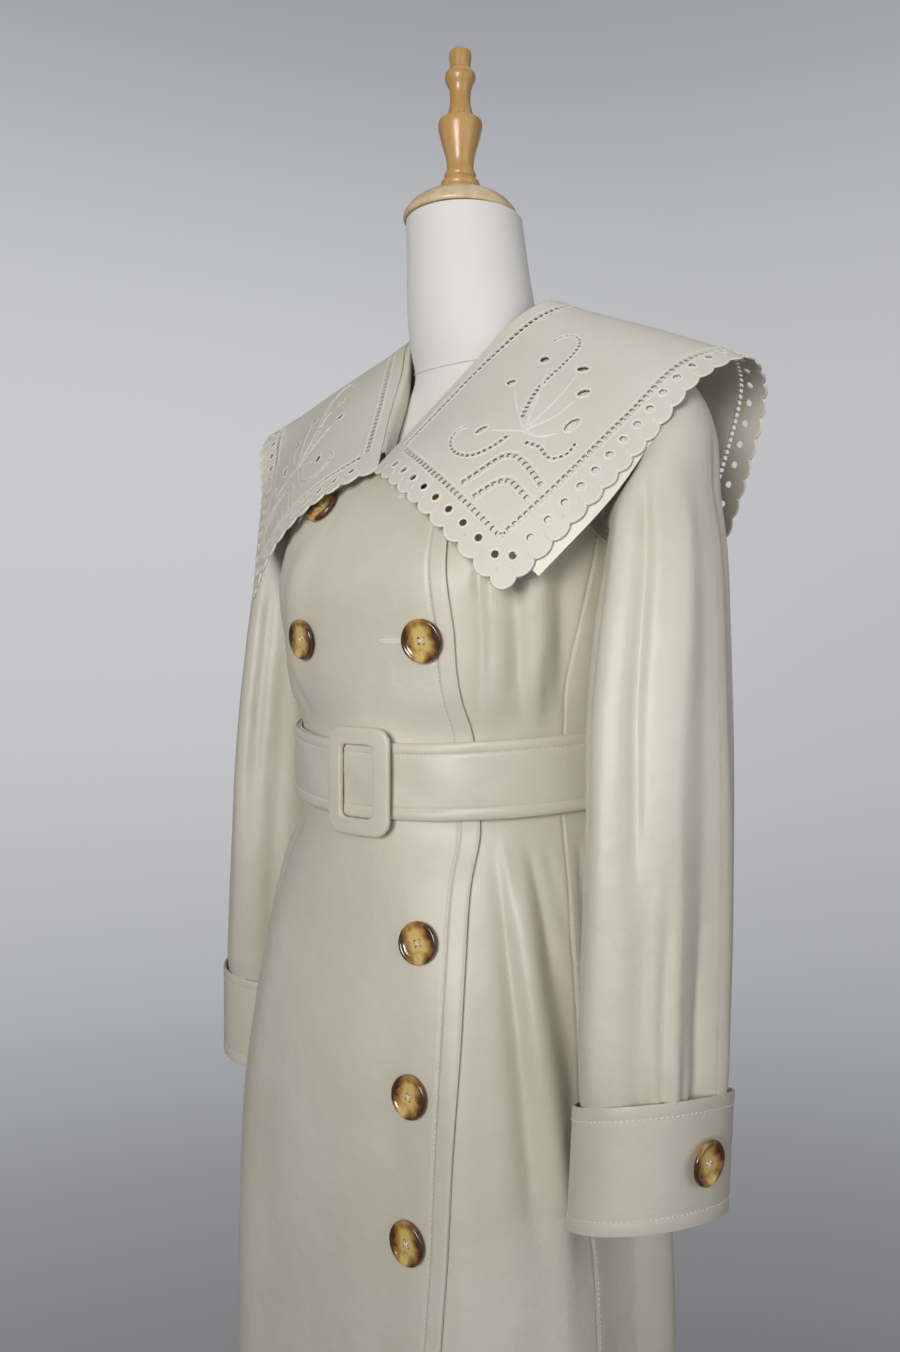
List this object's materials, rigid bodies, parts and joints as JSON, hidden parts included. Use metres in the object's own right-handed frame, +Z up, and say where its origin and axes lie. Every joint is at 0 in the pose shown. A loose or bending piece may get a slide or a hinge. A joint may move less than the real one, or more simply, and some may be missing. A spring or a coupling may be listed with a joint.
{
  "type": "trench coat on a dress form",
  "caption": "Double-breasted belted trench coat with a wide scalloped cutwork cape collar, worn by a limbless dress form on a pole and round base",
  "frame": {"origin": "centre of the underside of the stand's round base", "axes": "+Z up, the coat's front faces -Y, the wearer's left is +X"},
  "size_m": [0.5647, 0.3514, 1.64],
  "materials": {
    "cloth": "satin",
    "cutwork": "satin",
    "form": "matt",
    "wood": "satin",
    "horn": "polished",
    "stand": "satin"
  },
  "bodies": {
    "root": {"stand": "stand", "form_torso": "form", "neck_cap": "wood", "neck_finial": "wood", "right_front": "cloth", "left_front": "cloth", "right_side": "cloth", "left_side": "cloth", "right_back": "cloth", "left_back": "cloth", "left_sleeve": "cloth", "right_sleeve": "cloth", "left_cuff": "cloth", "right_cuff": "cloth", "under_collar": "cloth", "collar_stand": "cloth", "belt": "cloth", "belt_tail": "cloth", "buckle": "cloth", "top_collar": "cutwork", "button_collar_right": "horn", "button_collar_left": "horn", "button_chest_right": "horn", "button_chest_left": "horn", "button_column_1": "horn", "button_column_2": "horn", "button_column_3": "horn", "button_column_4": "horn", "button_cuff_left": "horn", "button_cuff_right": "horn"}
  },
  "joints": []
}
